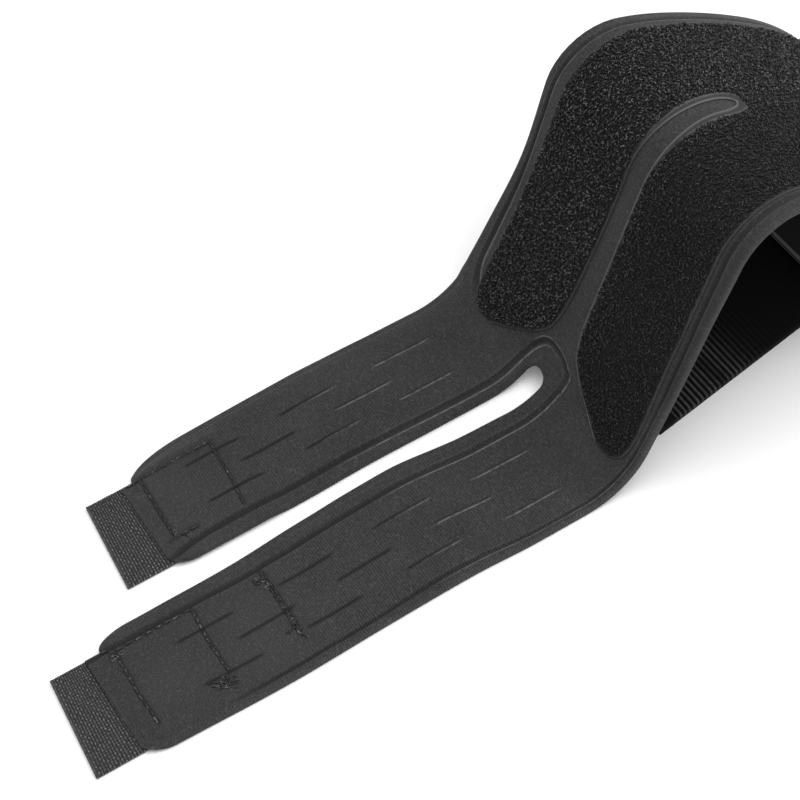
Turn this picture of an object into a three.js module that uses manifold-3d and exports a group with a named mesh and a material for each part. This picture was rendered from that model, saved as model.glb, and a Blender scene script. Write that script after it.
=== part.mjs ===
// Wrist wrap: a moulded cloth wrap that keeps its form on a surface. Two tongues lie flat, and the
// wide part rises from them, arches over the place of the wrist and turns in under itself.
// Millimetres, +Z up. On the flat pattern s runs along the wrap, from the tongues (negative) over the
// arch, and w runs across it. The outer face is up on the tongues.
import * as THREE from 'three';
import { mergeVertices } from 'three/addons/utils/BufferGeometryUtils.js';
import Module from 'manifold-3d';

const wasm = await Module();
wasm.setup();

// Wall of the body from an edge inward: a flat flange, a pressed groove, and the padded field.
// Where a tongue's outer edge has no groove, it rolls down to a thin edge instead.
const FLANGE_WIDTH = 2.6;
const GROOVE_WIDTH = 1.4;
const FLANGE_WALL = 1.9;
const GROOVE_WALL = 1.3;
const FIELD_WALL = 2.2;
const BORDER = [
  { inset: 0, wall: FLANGE_WALL, rolled: 1.0 },
  { inset: FLANGE_WIDTH, wall: FLANGE_WALL, rolled: 1.9 },
  { inset: FLANGE_WIDTH + GROOVE_WIDTH / 2, wall: GROOVE_WALL, rolled: 2.1 },
  { inset: FLANGE_WIDTH + GROOVE_WIDTH, wall: FIELD_WALL, rolled: FIELD_WALL },
];
const GROOVE_INSET = FLANGE_WIDTH + GROOVE_WIDTH / 2;
const FIELD = BORDER.length - 1;

// Distance from each outer edge to the middle of its groove; the border is drawn in or out to suit
const EDGE_MARGIN = [
  { s: -140, far: 3.3, near: 1.6 },
  { s: -75, far: 3.3, near: 1.7 },
  { s: -55, far: 3.3, near: 2.3 },
  { s: -30, far: 3.4, near: 1.5 },
  { s: 0, far: 3.5, near: 1.6 },
  { s: 8, far: 3.2, near: 1.7 },
  { s: 20, far: 2.7, near: 2.0 },
  { s: 30, far: 2.3, near: 2.3 },
  { s: 50, far: 2.6, near: 3.0 },
  { s: 180, far: 2.6, near: 2.8 },
];

// Sewn pieces and the clearance between pieces
const CLEARANCE = 0.3;
const PILE_WALL = 1.1;
const PILE_EDGE_ROUND = 0.5;
const TAIL_WALL = 1.2;
const TAIL_LIFT_RUN = 12;
const STRAP_WIDTH = 40;
const STRAP_WALL = 1.6;
const STRAP_ENDS = { free: -2, sewn: 73 };
const STRAP_TURN = 8.7;
const STRAP_ASIDE = 2.4;

// Side profile of the body's inner face: flat up to BEND_START, then stretches that each turn steadily
const BEND_START = -23.4;
const PROFILE = [
  { stretch: 'base bend', length: 18.8, turn: 63.4 },
  { stretch: 'rise', length: 49.5, turn: 5.6 },
  { stretch: 'crest', length: 18.9, turn: -85.0 },
  { stretch: 'shoulder', length: 11.4, turn: -10.5 },
  { stretch: 'roof', length: 25.6, turn: -8.5 },
  { stretch: 'fall', length: 20.6, turn: -14.5 },
  { stretch: 'back', length: 14.0, turn: -20.0 },
];
const TURNED_IN_LENGTH = 17.5;
const STEP_TURN = 7;
const STEP_LENGTH = 12;
const CLOSEST_ROWS = 0.5;
const SAME_PLACE = 1e-4;
const STRAIGHT_TURN = 1e-9;

// Flat pattern: place across of the body's two outer edges and of the slot's two edges
const PATTERN = [
  { s: -140, farEdge: 34.0, farSlot: 4.9, nearSlot: -1.4, nearEdge: -30.5 },
  { s: -118, farEdge: 34.0, farSlot: 5.0, nearSlot: -1.4, nearEdge: -31.0 },
  { s: -95, farEdge: 34.1, farSlot: 5.0, nearSlot: -1.2, nearEdge: -31.5 },
  { s: -72, farEdge: 34.9, farSlot: 5.1, nearSlot: 0.3, nearEdge: -30.9 },
  { s: -52, farEdge: 35.4, farSlot: 5.6, nearSlot: 1.2, nearEdge: -30.6 },
  { s: -35, farEdge: 35.1, farSlot: 5.5, nearSlot: -0.4, nearEdge: -31.2 },
  { s: -10, farEdge: 34.8, farSlot: 5.6, nearSlot: -0.9, nearEdge: -31.2 },
  { s: 5, farEdge: 33.6, farSlot: 5.6, nearSlot: -0.9, nearEdge: -31.2 },
  { s: 28, farEdge: 31.7, farSlot: 3.3, nearSlot: -3.3, nearEdge: -31.2 },
  { s: 48, farEdge: 32.7, farSlot: 3.3, nearSlot: -3.3, nearEdge: -31.9 },
  { s: 75, farEdge: 32.0, farSlot: 3.3, nearSlot: -3.3, nearEdge: -31.4 },
  { s: 180, farEdge: 32.0, farSlot: 3.3, nearSlot: -3.3, nearEdge: -31.4 },
];

// The slot's edge and the border lines that pass round its end, one ring for each line of BORDER.
// The border is wider on the near side, so its rings lie aside from the slot's middle.
const SLOT_RINGS = [
  { tip: -9.7, round: 3.3, aside: 0 },
  { tip: -3.8, round: 6.0, aside: -0.8 },
  { tip: -3.0, round: 6.6, aside: -0.8 },
  { tip: -2.2, round: 7.2, aside: -0.8 },
];
const SLOT_TIP = SLOT_RINGS[0].tip;

// Tongues: side of the slot, place and slant of the end, its two rounded corners, and the stretch in
// which the rolled outer edge becomes a grooved one. Pressed dashes lie in rows beside the tongue's middle.
// The tail's middle lies at tailMiddle across, from its sewn end under the tongue to its cut end.
const TONGUES = [
  {
    name: 'far', side: 1, end: -101.5, slant: 0.02, rolledUntil: -20, groovedFrom: -6,
    outerCorner: { start: 2.6, length: 14, depth: 5.4 }, slotCorner: { start: 0, length: 6, depth: 3 },
    dashRows: [{ out: 5.6, first: -33 }, { out: 0.1, first: -46 }, { out: -5.2, first: -33 }],
    tailMiddle: 18.0, tailWidth: 22.9, tailEnd: -79, tailCut: -110.8, cutSlant: 0.1,
  },
  {
    name: 'near', side: -1, end: -127.6, slant: 0, rolledUntil: -114, groovedFrom: -96,
    outerCorner: { start: -0.5, length: 7, depth: 4 }, slotCorner: { start: 3.4, length: 8, depth: 3.3 },
    dashRows: [{ out: 7.5, first: -32 }, { out: 1.9, first: -45 }, { out: -4.0, first: -32 }],
    tailMiddle: -16.6, tailWidth: 24.6, tailEnd: -86.5, tailCut: -136.8, cutSlant: 0.1,
  },
];
const SLANT_RUN = 25;
const END_CORNER = { start: 0, length: 6, depth: 6 };

// One pressed dash, and the pitch of dashes along a row
const DASH = { length: 15, width: 1.0, depth: 0.45, pitch: 24, endMargin: 10, aboveFace: 0.3 };

// Half of the loop panel, from the leg's slanted end past the tip of the groove between the legs
const PANEL = [
  { s: -11.0, inner: 21.0, outer: 23.6 },
  { s: -10.2, inner: 19.4, outer: 25.4 },
  { s: -8.8, inner: 17.1, outer: 26.7 },
  { s: -6, inner: 13.0, outer: 27.4 },
  { s: -2, inner: 7.9, outer: 27.7 },
  { s: 1.5, inner: 5.1, outer: 27.6 },
  { s: 8, inner: 3.6, outer: 27.2 },
  { s: 20, inner: 3.1, outer: 26.7 },
  { s: 40, inner: 2.8, outer: 26.6 },
  { s: 60, inner: 3.5, outer: 26.8 },
  { s: 67, inner: 3.5, outer: 26.7 },
  { s: 70.2, inner: 2.9, outer: 26.7 },
  { s: 71.4, inner: 2.1, outer: 26.7 },
  { s: 72.0, inner: 0, outer: 26.7 },
];
const PANEL_MIDDLE = -0.4;
const PANEL_TIP = PANEL[PANEL.length - 1];
const PANEL_START = PANEL[0];
const PANEL_END = 130;
const PANEL_CORNER = { start: 0, length: 6, depth: 6 };
const CUT_OVERRUN = 0.6;

// Shares of a rounded end or an easing at which rows of points stand
const ROUND_SHARES = [0.05, 0.2, 0.5, 1];
const EASE_SHARES = [0, 0.25, 0.5, 0.75, 1];
const TONGUE_ROWS = [-60, -48, -36, -28];

const radians = THREE.MathUtils.degToRad;

// Value of one named column of a table at s, on a smooth curve through the rows
function column(table, key, s) {
  const last = table.length - 2;
  let i = 0;
  while (i < last && s > table[i + 1].s) i += 1;
  const a = table[i];
  const b = table[i + 1];
  const slope = (p, q) => (q[key] - p[key]) / (q.s - p.s);
  const here = slope(a, b);
  const before = i > 0 ? slope(table[i - 1], a) : here;
  const after = i < last ? slope(b, table[i + 2]) : here;
  const soft = (p, q) => (p * q > 0 ? (2 * p * q) / (p + q) : 0);
  const span = b.s - a.s;
  const t = THREE.MathUtils.clamp((s - a.s) / span, 0, 1);
  const start = soft(before, here) * span;
  const end = soft(here, after) * span;
  const rise = b[key] - a[key];
  return a[key] + t * (start + t * (3 * rise - 2 * start - end + t * (start + end - 2 * rise)));
}

// One step along a stretch that turns steadily: the new place and heading
function advance(from, length, turn) {
  const heading = from.heading + turn;
  const chord = Math.abs(turn) < STRAIGHT_TURN ? length : (2 * length * Math.sin(turn / 2)) / turn;
  const middle = from.heading + turn / 2;
  return {
    s: from.s + length,
    x: from.x + chord * Math.cos(middle),
    z: from.z + chord * Math.sin(middle),
    heading,
  };
}

// Profile with its hidden end: a round curl brings the body down onto the strap, heading back inward
function profileStretches() {
  let at = { s: BEND_START, x: BEND_START, z: 0, heading: 0 };
  const list = [];
  const add = (length, turn) => {
    list.push({ from: at, length, turn });
    at = advance(at, length, turn);
  };
  PROFILE.forEach((row) => add(row.length, radians(row.turn)));
  const landing = STRAP_WALL + CLEARANCE + FIELD_WALL;
  const curlRadius = (at.z - landing) / (1 + Math.cos(at.heading));
  const curlTurn = -Math.PI - at.heading;
  add(-curlTurn * curlRadius, curlTurn);
  add(TURNED_IN_LENGTH, 0);
  return { list, end: at.s };
}
const SIDE = profileStretches();

// Point of the inner face's profile at s
function along(s) {
  if (s <= BEND_START) return { x: s, z: 0, heading: 0 };
  const row = SIDE.list.find(({ from, length }) => s <= from.s + length) ?? SIDE.list.at(-1);
  const part = s - row.from.s;
  return advance(row.from, part, (row.turn * part) / row.length);
}

// Point of the bent pattern, at a height above the inner face
function place(s, w, height) {
  const { x, z, heading } = along(s);
  return new THREE.Vector3(x - height * Math.sin(heading), w, z + height * Math.cos(heading));
}

// Places along the wrap where rows of points stand: close together on the bends, plus those asked for
function stations(from, to, wanted) {
  const marks = [from, to, ...wanted];
  SIDE.list.forEach(({ from: start, length, turn }) => {
    const steps = Math.ceil(Math.max(Math.abs(turn) / radians(STEP_TURN), length / STEP_LENGTH));
    for (let i = 0; i <= steps; i += 1) marks.push(start.s + (length * i) / steps);
  });
  const kept = marks.filter((s) => s >= from && s <= to).sort((a, b) => a - b);
  const fixed = new Set([from, to, ...wanted]);
  return kept.filter((s, i) => {
    if (fixed.has(s)) return kept.indexOf(s) === i;
    return kept.every((other, j) => j === i || !fixed.has(other) || Math.abs(other - s) > CLOSEST_ROWS);
  });
}

// Share of a full width left in a rounded end, u lengths in from its tip
function roundShare(u) {
  if (u <= 0) return 0;
  return u < 1 ? Math.sqrt(1 - (1 - u) ** 2) : 1;
}

// How far a rounded corner draws an edge in, at a distance from the end
function cornerInset(corner, distance) {
  return corner.depth * (1 - roundShare((distance - corner.start) / corner.length));
}

// Closed mesh gathered from quads and triangles, whose shared points are merged
class Faces {
  constructor() {
    this.points = [];
  }

  triangle(a, b, c) {
    this.points.push(a, b, c);
  }

  quad(a, b, c, d) {
    this.triangle(a, b, c);
    this.triangle(a, c, d);
  }

  // Faces between two lines of points that run side by side
  strip(left, right) {
    for (let i = 0; i + 1 < left.length; i += 1) this.quad(left[i], right[i], right[i + 1], left[i + 1]);
  }

  geometry() {
    const loose = new THREE.BufferGeometry().setFromPoints(this.points);
    const merged = mergeVertices(loose, SAME_PLACE);
    const index = merged.index.array;
    const kept = [];
    for (let i = 0; i < index.length; i += 3) {
      const [a, b, c] = index.slice(i, i + 3);
      if (a !== b && b !== c && c !== a) kept.push(a, b, c);
    }
    merged.setIndex(kept);
    return merged;
  }
}

// Closed solid through a row of loops with as many points each, capped at both ends
function loft(loops) {
  const faces = new Faces();
  for (let i = 0; i + 1 < loops.length; i += 1) {
    const a = loops[i];
    const b = loops[i + 1];
    a.forEach((point, j) => {
      const k = (j + 1) % a.length;
      faces.quad(point, a[k], b[k], b[j]);
    });
  }
  const cap = (loop, turned) => {
    for (let j = 1; j + 1 < loop.length; j += 1) {
      if (turned) faces.triangle(loop[0], loop[j + 1], loop[j]);
      else faces.triangle(loop[0], loop[j], loop[j + 1]);
    }
  };
  cap(loops[0], true);
  cap(loops.at(-1), false);
  return faces.geometry();
}

function toSolid(geometry) {
  const vertProperties = new Float32Array(geometry.getAttribute('position').array);
  const triVerts = new Uint32Array(geometry.index.array);
  return new wasm.Manifold(new wasm.Mesh({ numProp: 3, vertProperties, triVerts }));
}

function fromSolid(solid) {
  const { vertProperties, triVerts } = solid.getMesh();
  const geometry = new THREE.BufferGeometry();
  geometry.setAttribute('position', new THREE.BufferAttribute(vertProperties, 3));
  geometry.setIndex(new THREE.BufferAttribute(triVerts, 1));
  return geometry;
}

// Middle of the slot and distances from it to the slot's edge and to the outer edge, on one side
function sideOf(tongue, s) {
  const middle = (column(PATTERN, 'farSlot', s) + column(PATTERN, 'nearSlot', s)) / 2;
  const slot = tongue.side * (column(PATTERN, `${tongue.name}Slot`, s) - middle);
  const outer = tongue.side * (column(PATTERN, `${tongue.name}Edge`, s) - middle);
  return { middle, slot, outer };
}

// Middle of a tongue, half way between the slot and the outer edge
function tongueMiddle(tongue, s) {
  const { middle, slot, outer } = sideOf(tongue, s);
  return middle + (tongue.side * (slot + outer)) / 2;
}

// Height of the tongue's underside, raised over the tail that is sewn beneath it
function underside(tongue, s) {
  const eased = THREE.MathUtils.smoothstep(tongue.tailEnd + TAIL_LIFT_RUN - s, 0, TAIL_LIFT_RUN);
  return eased * (TAIL_WALL + CLEARANCE);
}

// Number of border lines that s has passed on the way in from an end
function borderLevel(distance) {
  const passed = BORDER.filter(({ inset }) => distance >= inset - SAME_PLACE).length - 1;
  return THREE.MathUtils.clamp(passed, 0, FIELD);
}

// One row of the body on one side of the middle line: the outer border, then the rings of the slot
function bodyRow(tongue, s) {
  const { side, end } = tongue;
  const { middle, slot, outer } = sideOf(tongue, s);
  const edge = outer - cornerInset(tongue.outerCorner, s - end) - cornerInset(END_CORNER, SIDE.end - s);
  const gap = slot + cornerInset(tongue.slotCorner, s - end);
  const rowLevel = borderLevel(SIDE.end - s);
  const rolled = 1 - THREE.MathUtils.smoothstep(s, tongue.rolledUntil, tongue.groovedFrom);
  const spread = column(EDGE_MARGIN, tongue.name, s) / GROOVE_INSET;
  const reached = SLOT_RINGS.filter(({ tip }) => s >= tip).length - 1;
  const outerLine = BORDER.map((border, level) => ({
    w: middle + side * (edge - border.inset * spread),
    wall: THREE.MathUtils.lerp(BORDER[Math.min(level, rowLevel)].wall, border.rolled, rolled),
  }));
  const slotLine = SLOT_RINGS.map(({ tip, round, aside }, level) => ({
    w: middle + (aside + side * (gap + BORDER[level].inset)) * roundShare((tip - s) / round),
    wall: BORDER[Math.min(Math.max(level, reached), rowLevel)].wall,
  }));
  const slanted = tongue.slant * THREE.MathUtils.smoothstep(SLANT_RUN + end - s, 0, SLANT_RUN);
  const lift = underside(tongue, s);
  const point = ({ w }, height) => place(s + slanted * (w - tongueMiddle(tongue, s)), w, lift + height);
  const lines = [...outerLine, ...slotLine.reverse()];
  return {
    top: lines.map((line) => point(line, line.wall)),
    bottom: [lines[0], lines.at(-1)].map((line) => point(line, 0)),
  };
}

// Rows of points from one tongue's end to the far end of the body
function bodyHalf(tongue) {
  const rounds = [
    ...[tongue.outerCorner, tongue.slotCorner].flatMap(({ start, length }) =>
      [0, ...ROUND_SHARES].map((share) => tongue.end + start + share * length)),
    ...ROUND_SHARES.map((share) => SIDE.end - share * END_CORNER.length),
    ...SLOT_RINGS.map(({ tip }) => tip),
    ...[SLOT_RINGS[0], SLOT_RINGS[FIELD]].flatMap(({ tip, round }) =>
      ROUND_SHARES.map((share) => tip - share * round)),
  ];
  const borders = [
    ...BORDER.map(({ inset }) => SIDE.end - inset),
    ...TONGUES.flatMap(({ rolledUntil, groovedFrom }) => [rolledUntil, groovedFrom]),
  ];
  const lifts = EASE_SHARES.map((share) => tongue.tailEnd + share * TAIL_LIFT_RUN);
  const wanted = [...rounds, ...borders, ...lifts, ...TONGUE_ROWS];
  return stations(tongue.end, SIDE.end, wanted).map((s) => ({ s, ...bodyRow(tongue, s) }));
}

// The body's skin: both halves above and below, with walls at the outer edge, the slot and the ends
function bodyGeometry() {
  const faces = new Faces();
  TONGUES.forEach((tongue) => {
    const rows = bodyHalf(tongue);
    const strip = (left, right) => (tongue.side > 0 ? faces.strip(left, right) : faces.strip(right, left));
    const line = (key, j) => rows.map((row) => row[key].at(j));
    for (let j = 0; j + 1 < rows[0].top.length; j += 1) strip(line('top', j), line('top', j + 1));
    strip(line('bottom', 1), line('bottom', 0));
    strip(line('bottom', 0), line('top', 0));
    const open = rows.filter(({ s }) => s <= SLOT_TIP);
    strip(open.map(({ top }) => top.at(-1)), open.map(({ bottom }) => bottom.at(-1)));
    const below = ({ top, bottom }) => top.map((point, j) => bottom[Math.min(j, 1)]);
    strip(rows[0].top, below(rows[0]));
    strip(below(rows.at(-1)), rows.at(-1).top);
  });
  return faces.geometry();
}

// V-shaped cutter for one pressed dash, following the face of its tongue
function dashCutter(tongue, out, centre) {
  const flare = (DASH.depth + DASH.aboveFace) / DASH.depth;
  const half = (DASH.width / 2) * flare;
  return loft(EASE_SHARES.map((share) => {
    const s = centre + (share - 0.5) * DASH.length;
    const w = tongueMiddle(tongue, s) + tongue.side * out;
    const face = underside(tongue, s) + FIELD_WALL;
    return [
      place(s, w + half, face + DASH.aboveFace),
      place(s, w - half, face + DASH.aboveFace),
      place(s, w, face - DASH.depth),
    ];
  }));
}

function dashCutters(tongue) {
  const last = tongue.end + DASH.endMargin + DASH.length / 2;
  return tongue.dashRows.flatMap(({ out, first }) => {
    const count = Math.floor((first - last) / DASH.pitch) + 1;
    return Array.from({ length: count }, (_, i) => dashCutter(tongue, out, first - i * DASH.pitch));
  });
}

function makeBody() {
  const whole = toSolid(bodyGeometry());
  const cutters = TONGUES.flatMap(dashCutters).map(toSolid);
  return fromSolid(cutters.reduce((solid, cutter) => solid.subtract(cutter), whole));
}

// The loop panel: a plate with a rounded pile edge, less the groove between its legs
function makeLoopPanel() {
  const base = FIELD_WALL + CLEARANCE;
  const side = base + PILE_WALL - PILE_EDGE_ROUND;
  const top = base + PILE_WALL;
  const at = (s, out, height) => place(s, PANEL_MIDDLE + out, height);
  const marks = PANEL.map(({ s }) => s);
  const corner = ROUND_SHARES.map((share) => PANEL_END - share * PANEL_CORNER.length);
  const plateLoop = (s) => {
    const half = column(PANEL, 'outer', s) - cornerInset(PANEL_CORNER, PANEL_END - s);
    const crown = half - PILE_EDGE_ROUND;
    return [
      at(s, half, base), at(s, half, side), at(s, crown, top),
      at(s, -crown, top), at(s, -half, side), at(s, -half, base),
    ];
  };
  const flare = PILE_EDGE_ROUND + CUT_OVERRUN;
  const grooveLoop = (s) => {
    const half = column(PANEL, 'inner', s);
    const mouth = half + flare;
    const high = side + flare;
    const low = base - CUT_OVERRUN;
    return [
      at(s, half, side), at(s, mouth, high), at(s, -mouth, high),
      at(s, -half, side), at(s, -half, low), at(s, half, low),
    ];
  };
  const plate = loft(stations(PANEL_START.s, PANEL_END, [...marks, ...corner]).map(plateLoop));
  const from = PANEL_START.s - CUT_OVERRUN;
  const groove = loft(stations(from, PANEL_TIP.s, marks).map(grooveLoop));
  return fromSolid(toSolid(plate).subtract(toSolid(groove)));
}

// One tail: flat webbing under its tongue, cut off at a slant
function makeTail(tongue) {
  const cut = (s, w) => s + (s === tongue.tailCut ? tongue.cutSlant * (w - tongue.tailMiddle) : 0);
  return loft([tongue.tailCut, tongue.end, tongue.tailEnd].map((s) => {
    const high = tongue.tailMiddle + tongue.tailWidth / 2;
    const low = tongue.tailMiddle - tongue.tailWidth / 2;
    const corner = (w, height) => place(cut(s, w), w, height);
    return [corner(high, 0), corner(high, TAIL_WALL), corner(low, TAIL_WALL), corner(low, 0)];
  }));
}

const group = new THREE.Group();

function addPiece(name, geometry, look) {
  const mesh = new THREE.Mesh(geometry, new THREE.MeshStandardMaterial({ metalness: 0, ...look }));
  mesh.name = name;
  group.add(mesh);
  return mesh;
}

const WEBBING = { color: 0x333336, roughness: 0.85 };
addPiece('body', makeBody(), { color: 0x3b3b3d, roughness: 0.8 });
addPiece('loop_panel', makeLoopPanel(), { color: 0x1f1f21, roughness: 0.95 });
TONGUES.forEach((tongue) => addPiece(`tail_${tongue.name}`, makeTail(tongue), WEBBING));

const strapLength = STRAP_ENDS.sewn - STRAP_ENDS.free;
const strap = addPiece('ribbed_strap', new THREE.BoxGeometry(strapLength, STRAP_WIDTH, STRAP_WALL), {
  color: 0x161618, roughness: 0.8,
});
strap.position.set((STRAP_ENDS.sewn + STRAP_ENDS.free) / 2, STRAP_ASIDE, STRAP_WALL / 2);
strap.rotation.z = radians(STRAP_TURN);

// The origin is the middle of the footprint, on the surface that the wrap lies on
const box = new THREE.Box3().setFromObject(group, true);
const centre = box.getCenter(new THREE.Vector3());
group.position.set(-centre.x, -centre.y, -box.min.z);

export default group;
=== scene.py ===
import bpy
import numpy as np
from mathutils import Matrix, Vector


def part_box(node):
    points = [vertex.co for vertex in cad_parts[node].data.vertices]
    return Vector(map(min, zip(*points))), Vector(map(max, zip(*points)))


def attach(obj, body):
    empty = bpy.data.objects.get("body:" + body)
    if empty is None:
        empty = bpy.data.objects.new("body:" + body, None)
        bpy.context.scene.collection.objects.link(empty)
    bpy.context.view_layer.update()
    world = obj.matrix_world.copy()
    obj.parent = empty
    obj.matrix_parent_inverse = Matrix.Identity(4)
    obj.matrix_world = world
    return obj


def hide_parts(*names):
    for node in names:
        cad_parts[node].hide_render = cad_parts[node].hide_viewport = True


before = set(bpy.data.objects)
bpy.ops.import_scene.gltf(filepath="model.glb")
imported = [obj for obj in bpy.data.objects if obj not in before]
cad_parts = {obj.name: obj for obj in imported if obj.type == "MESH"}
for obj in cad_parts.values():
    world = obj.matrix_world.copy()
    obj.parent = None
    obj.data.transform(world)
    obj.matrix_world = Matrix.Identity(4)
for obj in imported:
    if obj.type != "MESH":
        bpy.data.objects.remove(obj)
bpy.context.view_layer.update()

# Body
# A laminate of fine knit over thin foam, hot-pressed in a mould that rolls its edges down, presses a
# groove round its border and sets the arch. Sizes are millimetres on the flat pattern: s runs along
# the wrap from the tongues, w across it, and a height is counted from the inner face.
MM = 0.001
TAIL_NEAR_SEWN_END = -86.5
TAIL_NEAR_MIDDLE = -16.6
tail_low, tail_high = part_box("tail_near")
pattern_origin = np.array([
    tail_high.x / MM - TAIL_NEAR_SEWN_END,
    (tail_low.y + tail_high.y) / 2 / MM - TAIL_NEAR_MIDDLE,
    0.0,
])

FIELD_WALL = 2.2
STRAP_WALL = 1.6
CLEARANCE = 0.3
TAIL_WALL = 1.2
BEND_START = -23.4
FLAT_START = -200.0
TURNED_IN_LENGTH = 17.5
STRETCHES = [  # length along the cloth, turn in degrees
    (18.8, 63.4),   # base bend
    (49.5, 5.6),    # rise
    (18.9, -85.0),  # crest
    (11.4, -10.5),  # shoulder
    (25.6, -8.5),   # roof
    (20.6, -14.5),  # fall
    (14.0, -20.0),  # back
]


def arc_step(x, z, heading, length, turn):
    """Where a stretch that turns steadily ends."""
    chord = length * np.sinc(turn / (2 * np.pi))
    middle = heading + turn / 2
    return x + chord * np.cos(middle), z + chord * np.sin(middle), heading + turn


def side_profile():
    """Rows of start s, x, z, heading and turn for each millimetre, and the s at which the body ends."""
    rows = [(FLAT_START, FLAT_START, 0.0, 0.0, 0.0)]
    s, x, z, heading = BEND_START, BEND_START, 0.0, 0.0
    for length, turn in STRETCHES:
        turn = np.radians(turn)
        rows.append((s, x, z, heading, turn / length))
        x, z, heading = arc_step(x, z, heading, length, turn)
        s += length
    curl_radius = (z - (STRAP_WALL + CLEARANCE + FIELD_WALL)) / (1 + np.cos(heading))
    curl_turn = -np.pi - heading
    curl_length = -curl_turn * curl_radius
    rows.append((s, x, z, heading, curl_turn / curl_length))
    x, z, heading = arc_step(x, z, heading, curl_length, curl_turn)
    s += curl_length
    rows.append((s, x, z, heading, 0.0))
    return np.array(rows), s + TURNED_IN_LENGTH


SIDE, BODY_END = side_profile()


def place(s, w, height):
    """Points of the bent pattern in the frame, in metres."""
    row = SIDE[np.clip(np.searchsorted(SIDE[:, 0], s, side="right") - 1, 0, len(SIDE) - 1)]
    part = s - row[..., 0]
    x, z, heading = arc_step(row[..., 1], row[..., 2], row[..., 3], part, row[..., 4] * part)
    point = np.stack([x - height * np.sin(heading), w + 0 * x, z + height * np.cos(heading)], -1)
    return (point + pattern_origin) * MM


def smooth_line(xs, ys, at):
    """Value at some places of a smooth line through a table's points, with no overshoot."""
    rise = np.diff(ys) / np.diff(xs)
    before = np.concatenate([rise[:1], rise])
    after = np.concatenate([rise, rise[-1:]])
    same_way = before * after > 0
    slope = np.where(same_way, 2 * before * after / np.where(same_way, before + after, 1), 0)
    i = np.clip(np.searchsorted(xs, at) - 1, 0, len(xs) - 2)
    span = xs[i + 1] - xs[i]
    t = np.clip((at - xs[i]) / span, 0, 1)
    start, end, gain = slope[i] * span, slope[i + 1] * span, ys[i + 1] - ys[i]
    return ys[i] + t * (start + t * (3 * gain - 2 * start - end + t * (start + end - 2 * gain)))


def ease(at, start, end):
    """0 before start, 1 after end, and a smooth change between."""
    t = np.clip((at - start) / (end - start), 0, 1)
    return t * t * (3 - 2 * t)


def round_share(u):
    """Share of a full width left in a rounded end, u lengths in from its tip."""
    return np.sqrt(1 - (1 - np.clip(u, 0, 1)) ** 2)


def corner_inset(corner, distance):
    """How far a rounded corner (length, depth) draws an edge in, at a distance from the end."""
    length, depth = corner
    return depth * (1 - round_share(distance / length))


# Places across of the far edge, the slot's far and near edges, and the near edge
PATTERN = np.array([
    (-140, 34.0, 4.9, -1.4, -30.5),
    (-118, 34.0, 5.0, -1.4, -31.0),
    (-95, 34.1, 5.0, -1.2, -31.5),
    (-72, 34.9, 5.1, 0.3, -30.9),
    (-52, 35.4, 5.6, 1.2, -30.6),
    (-35, 35.1, 5.5, -0.4, -31.2),
    (-10, 34.8, 5.6, -0.9, -31.2),
    (5, 33.6, 5.6, -0.9, -31.2),
    (28, 31.7, 3.3, -3.3, -31.2),
    (48, 32.7, 3.3, -3.3, -31.9),
    (75, 32.0, 3.3, -3.3, -31.4),
    (180, 32.0, 3.3, -3.3, -31.4),
])
# The tongues: columns of the tables, corners as length and depth, and where the outer edge turns from
# rolled to grooved. Dash rows give a place out from the tongue's middle, and the first dash's middle.
TONGUES = {
    "far": dict(
        side=1, edge_column=1, slot_column=2, margin_column=1, end=-101.5, slant=0.02,
        outer_corner=(14, 5.4), corner_start=2.6, slot_corner=(6, 3), slot_start=0,
        groove_round=12, ridge_lit=0.0, half_grooved=(-11, -6), grooved=(-11, -6),
        dash_rows=[(5.64, -33), (0.1, -46), (-5.15, -33)],
        tail_middle=18.0, tail_width=22.9, tail_end=-79, tail_cut=-110.8, cut_slant=0.1,
    ),
    "near": dict(
        side=-1, edge_column=4, slot_column=3, margin_column=2, end=-127.6, slant=0.0,
        outer_corner=(7, 4), corner_start=-0.5, slot_corner=(8, 3.3), slot_start=3.4,
        groove_round=4.4, ridge_lit=1.0, half_grooved=(-114, -96), grooved=(-26, -10),
        dash_rows=[(7.54, -32), (1.85, -45), (-3.98, -32)],
        tail_middle=TAIL_NEAR_MIDDLE, tail_width=24.6, tail_end=TAIL_NEAR_SEWN_END, tail_cut=-136.8,
        cut_slant=0.1,
    ),
}
SLANT_RUN = 25
END_CORNER = (6, 6)
SLOT_TIP, SLOT_ROUND = -9.7, 3.3
GROOVE_TIP = -2.3
SLOT_MARGIN = np.array([  # s, and from the slot's edge to the groove on the far and the near tongue
    (-130, 2.2, 3.9),
    (-101, 2.2, 4.2),
    (-91, 3.2, 4.6),
    (-70, 3.3, 4.7),
    (-55, 3.2, 4.8),
    (-30, 2.7, 4.4),
    (-12, 2.6, 4.1),
    (0, 2.6, 4.1),
])
EDGE_MARGIN = np.array([  # s, and from the outer edge to the groove on the far and the near side
    (-112, 8.0, 1.4),
    (-75, 8.0, 1.7),
    (-55, 8.0, 2.3),
    (-30, 8.0, 1.5),
    (-10, 8.0, 1.6),
    (-8, 6.4, 1.6),
    (-5, 4.8, 1.6),
    (-2.5, 3.9, 1.6),
    (0, 3.5, 1.6),
    (8, 3.2, 1.7),
    (20, 2.7, 2.0),
    (30, 2.3, 2.3),
    (50, 2.6, 3.0),
    (75, 2.6, 2.8),
    (180, 2.6, 2.8),
])
HALF_GROOVED = 0.9
RIDGE_TURNS = (-6, -2)

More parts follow.
